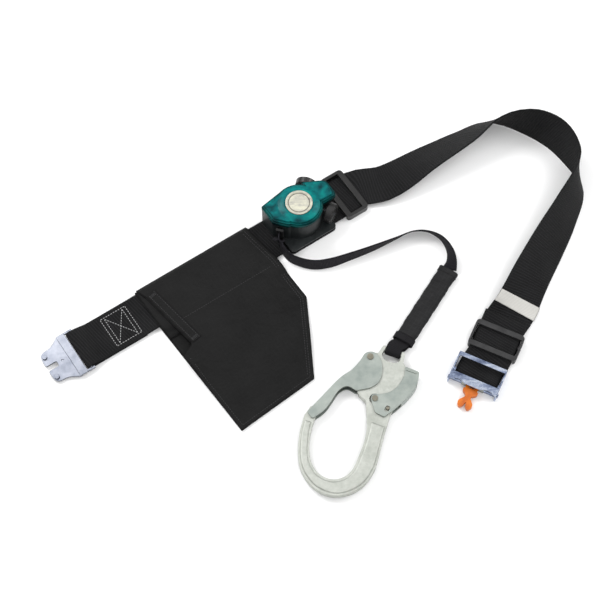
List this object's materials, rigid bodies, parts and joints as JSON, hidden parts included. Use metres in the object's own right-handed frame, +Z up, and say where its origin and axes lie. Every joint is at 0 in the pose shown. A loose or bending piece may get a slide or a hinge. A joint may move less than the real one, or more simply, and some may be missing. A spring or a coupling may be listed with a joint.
{
  "type": "shock absorbing lanyard",
  "caption": "Waist belt with a reel-type shock absorbing lanyard: retracting strap, tear-webbing absorber, self-closing snap hook with safety lever, quick buckle and hook pouch.",
  "frame": {"origin": "on the floor under the middle of the object's bounding box as it lies flat, the free lanyard strap left out", "axes": "+Z up from the floor; +X along the belt's left-to-right spread, from the tongue plate towards the belt's rolled turn; +Y from the hook's bow towards the far turn of the belt"},
  "size_m": [0.6221, 0.4739, 0.0503],
  "materials": {
    "webbing": "black ribbed polyester webbing",
    "marker": "light grey woven tape",
    "cloth": "charcoal coated pack cloth",
    "zinc": "matt zinc-plated forging",
    "gate_steel": "satin zinc-plated sheet",
    "bright_steel": "bright zinc plating",
    "dark_plastic": "dark grey moulding",
    "black_plastic": "black moulding",
    "teal_plastic": "glossy tinted teal moulding",
    "label": "pale metallic disc, blank",
    "orange_plastic": "orange moulding"
  },
  "bodies": {
    "belt": {"waist_belt": "webbing", "belt_marker_band": "marker", "adjuster_slide": "black_plastic", "reel_keeper": "black_plastic", "belt_plate": "black_plastic", "case_screw_1": "bright_steel", "case_screw_2": "bright_steel", "case_screw_3": "bright_steel", "case_screw_4": "bright_steel", "reel_base": "dark_plastic", "reel_cover": "teal_plastic", "reel_label": "label", "strap_exit_guide": "black_plastic", "reel_shaft": "bright_steel", "power_spring": "bright_steel", "knob_pin_front": "bright_steel", "knob_pin_rear": "bright_steel", "buckle_frame": "bright_steel", "buckle_bar": "bright_steel", "lever_pin": "bright_steel", "key_spring": "bright_steel", "lanyard_strap": "webbing", "absorber_sleeve": "cloth", "absorber_pack": "webbing", "loop_keeper": "webbing", "hook_loop": "webbing"},
    "tongue": {"tongue_plate": "bright_steel", "tongue_stud_upper": "bright_steel", "tongue_stud_lower": "bright_steel"},
    "pouch": {"pouch_back": "cloth", "pouch_front": "cloth"},
    "drum": {"reel_drum": "dark_plastic", "wound_strap": "webbing", "ratchet_wheel": "zinc"},
    "pawl": {"lock_pawl": "zinc"},
    "knob_front": {"lock_knob_front": "black_plastic"},
    "knob_rear": {"lock_knob_rear": "black_plastic"},
    "key": {"release_key": "orange_plastic", "latch_left": "zinc", "latch_right": "zinc"},
    "hook": {"hook_body": "zinc", "gate_pivot": "bright_steel", "lever_pivot": "bright_steel", "lever_stop_pin": "bright_steel", "gate_spring": "bright_steel", "lever_spring": "bright_steel"},
    "gate": {"hook_gate": "gate_steel"},
    "lever": {"safety_lever": "gate_steel"}
  },
  "joints": [
    {"name": "tongue_hinge", "type": "hinge", "parent": "belt", "child": "tongue", "pos_m": [-0.2647, -0.06452, 0.005], "axis": [-0.557, 0.8305, 0], "range_deg": [0, 55]},
    {"name": "pouch_slide", "type": "slide", "parent": "belt", "child": "pouch", "axis": [0.8305, 0.557, 0], "range_m": [-0.012, 0.004]},
    {"name": "drum_spin", "type": "hinge", "parent": "belt", "child": "drum", "pos_m": [-0.02109, 0.10188, 0.02], "axis": [0, 0, 1], "range_deg": [-180, 180]},
    {"name": "pawl_swing", "type": "hinge", "parent": "belt", "child": "pawl", "pos_m": [-0.01705, 0.12241, 0.0087], "axis": [0, 0, -1], "range_deg": [0, 8]},
    {"name": "knob_front_turn", "type": "hinge", "parent": "belt", "child": "knob_front", "pos_m": [0.01591, 0.10178, 0.0206], "axis": [0.9052, -0.425, 0], "continuous": true},
    {"name": "knob_rear_turn", "type": "hinge", "parent": "belt", "child": "knob_rear", "pos_m": [-0.0129, 0.13898, 0.0206], "axis": [0.2156, 0.9765, 0], "continuous": true},
    {"name": "release_key_press", "type": "hinge", "parent": "belt", "child": "key", "pos_m": [0.17081, -0.10798, 0.0046], "axis": [-0.9063, 0.4226, 0], "range_deg": [0, 14], "stiffness_Nm_per_rad": 0.03},
    {"name": "hook_swing", "type": "hinge", "parent": "belt", "child": "hook", "pos_m": [0.08423, -0.06806, 0.0068], "axis": [-0.9298, 0.3681, 0], "range_deg": [0, 70]},
    {"name": "gate_open", "type": "hinge", "parent": "hook", "child": "gate", "pos_m": [0.05807, -0.07599, 0.0068], "axis": [0, 0, 1], "range_deg": [0, 26], "stiffness_Nm_per_rad": 0.2, "springref_deg": -5.73},
    {"name": "lever_squeeze", "type": "hinge", "parent": "hook", "child": "lever", "pos_m": [0.06217, -0.12569, 0.0068], "axis": [0, 0, 1], "range_deg": [0, 8], "stiffness_Nm_per_rad": 0.4, "springref_deg": -5.73}
  ]
}
